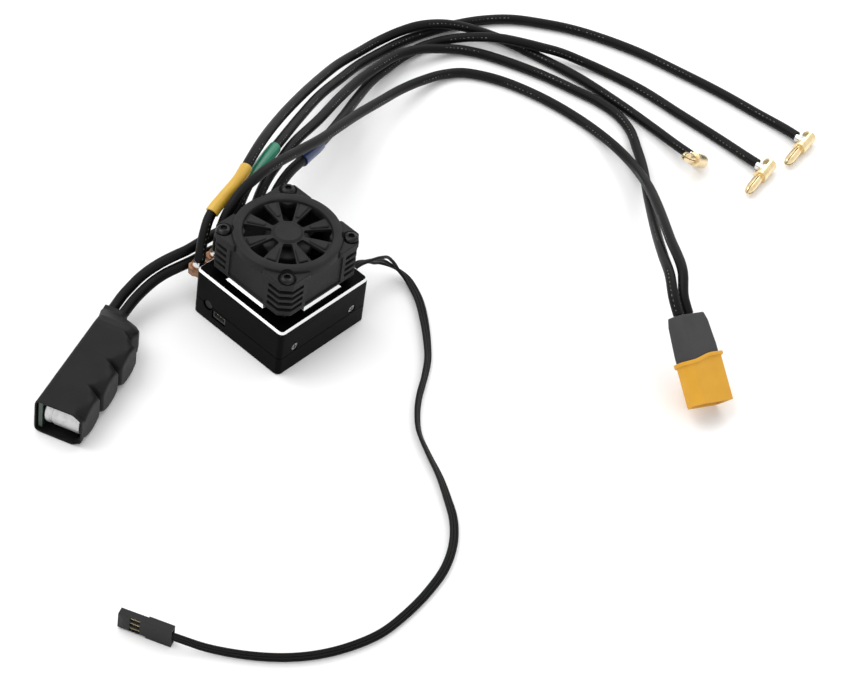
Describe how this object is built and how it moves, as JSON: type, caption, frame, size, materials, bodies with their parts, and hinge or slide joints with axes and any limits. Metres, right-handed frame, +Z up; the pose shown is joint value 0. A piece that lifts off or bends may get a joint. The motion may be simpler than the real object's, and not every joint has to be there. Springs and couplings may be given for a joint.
{
  "type": "electronic speed controller",
  "caption": "Boxy metal speed controller with a screwed cooling fan, soldered silicone power wires, capacitor pack, bullet plugs, battery plug and flat receiver lead.",
  "frame": {"origin": "middle of the flat underside of the case", "axes": "+Z up out of the fan; +X along the face with the case screws, towards the receiver lead; +Y out of the face with the solder tabs"},
  "size_m": [0.3327, 0.2, 0.0389],
  "materials": {
    "anodised_black": "black anodised with bright machined chamfers",
    "black_steel": "black oxide",
    "circuit_board": "solder mask",
    "chip_black": "moulded",
    "thermal_grey": "soft gap filler",
    "dark_plastic": "moulded",
    "copper": "bare copper",
    "fan_plastic": "fine matte moulding",
    "bright_steel": "ground",
    "black_silicone": "satin silicone",
    "shrink_yellow": "glossy heat-shrink",
    "shrink_green": "glossy heat-shrink",
    "shrink_blue": "glossy heat-shrink",
    "gold_plate": "gold plated",
    "plug_yellow": "moulded nylon",
    "plug_grey": "moulded",
    "shrink_black": "satin heat-shrink",
    "capacitor_can": "drawn can",
    "soft_rubber": "soft moulding"
  },
  "bodies": {
    "case": {"lower_case": "anodised_black", "upper_case": "anodised_black", "case_screw_front_left": "black_steel", "case_screw_front_right": "black_steel", "case_screw_rear_left": "black_steel", "case_screw_rear_right": "black_steel", "main_board": "circuit_board", "mosfet_phase_a": "chip_black", "mosfet_phase_b": "chip_black", "mosfet_phase_c": "chip_black", "microcontroller": "chip_black", "thermal_pad": "thermal_grey", "power_board": "circuit_board", "button_switch": "chip_black", "program_port": "dark_plastic", "solder_tab_motor_a": "copper", "solder_tab_battery_minus": "copper", "solder_tab_motor_b": "copper", "solder_tab_battery_plus": "copper", "solder_tab_motor_c": "copper", "terminal_block": "dark_plastic", "fan_frame": "fan_plastic", "fan_bearing": "copper", "fan_stator": "copper", "fan_guard": "fan_plastic", "guard_screw_front": "black_steel", "guard_screw_right": "black_steel", "guard_screw_left": "black_steel", "guard_screw_rear": "black_steel", "motor_a_wire": "black_silicone", "motor_b_wire": "black_silicone", "motor_c_wire": "black_silicone", "battery_plus_wire": "black_silicone", "battery_minus_wire": "black_silicone", "yellow_sleeve": "shrink_yellow", "green_sleeve": "shrink_green", "blue_sleeve": "shrink_blue", "bullet_motor_a": "gold_plate", "bullet_motor_b": "gold_plate", "bullet_motor_c": "gold_plate", "plug_shell": "plug_yellow", "plug_cap": "plug_grey", "plug_pin_plus": "gold_plate", "plug_pin_minus": "gold_plate", "capacitor_sleeve": "shrink_black", "capacitor_board": "circuit_board", "capacitor_1": "capacitor_can", "capacitor_2": "capacitor_can", "capacitor_3": "capacitor_can", "capacitor_wire_plus": "black_silicone", "capacitor_wire_minus": "black_silicone", "lead_grommet": "soft_rubber", "receiver_lead": "black_silicone", "receiver_plug": "dark_plastic"},
    "rotor": {"fan_rotor": "dark_plastic", "fan_shaft": "bright_steel"},
    "button": {"setup_button": "dark_plastic"}
  },
  "joints": [
    {"name": "fan_spin", "type": "hinge", "parent": "case", "child": "rotor", "pos_m": [0, 0, 0.0285], "axis": [0, 0, 1], "continuous": true},
    {"name": "button_press", "type": "slide", "parent": "case", "child": "button", "axis": [1, 0, 0], "range_m": [0, 0.0005], "stiffness_N_per_m": 1500}
  ]
}
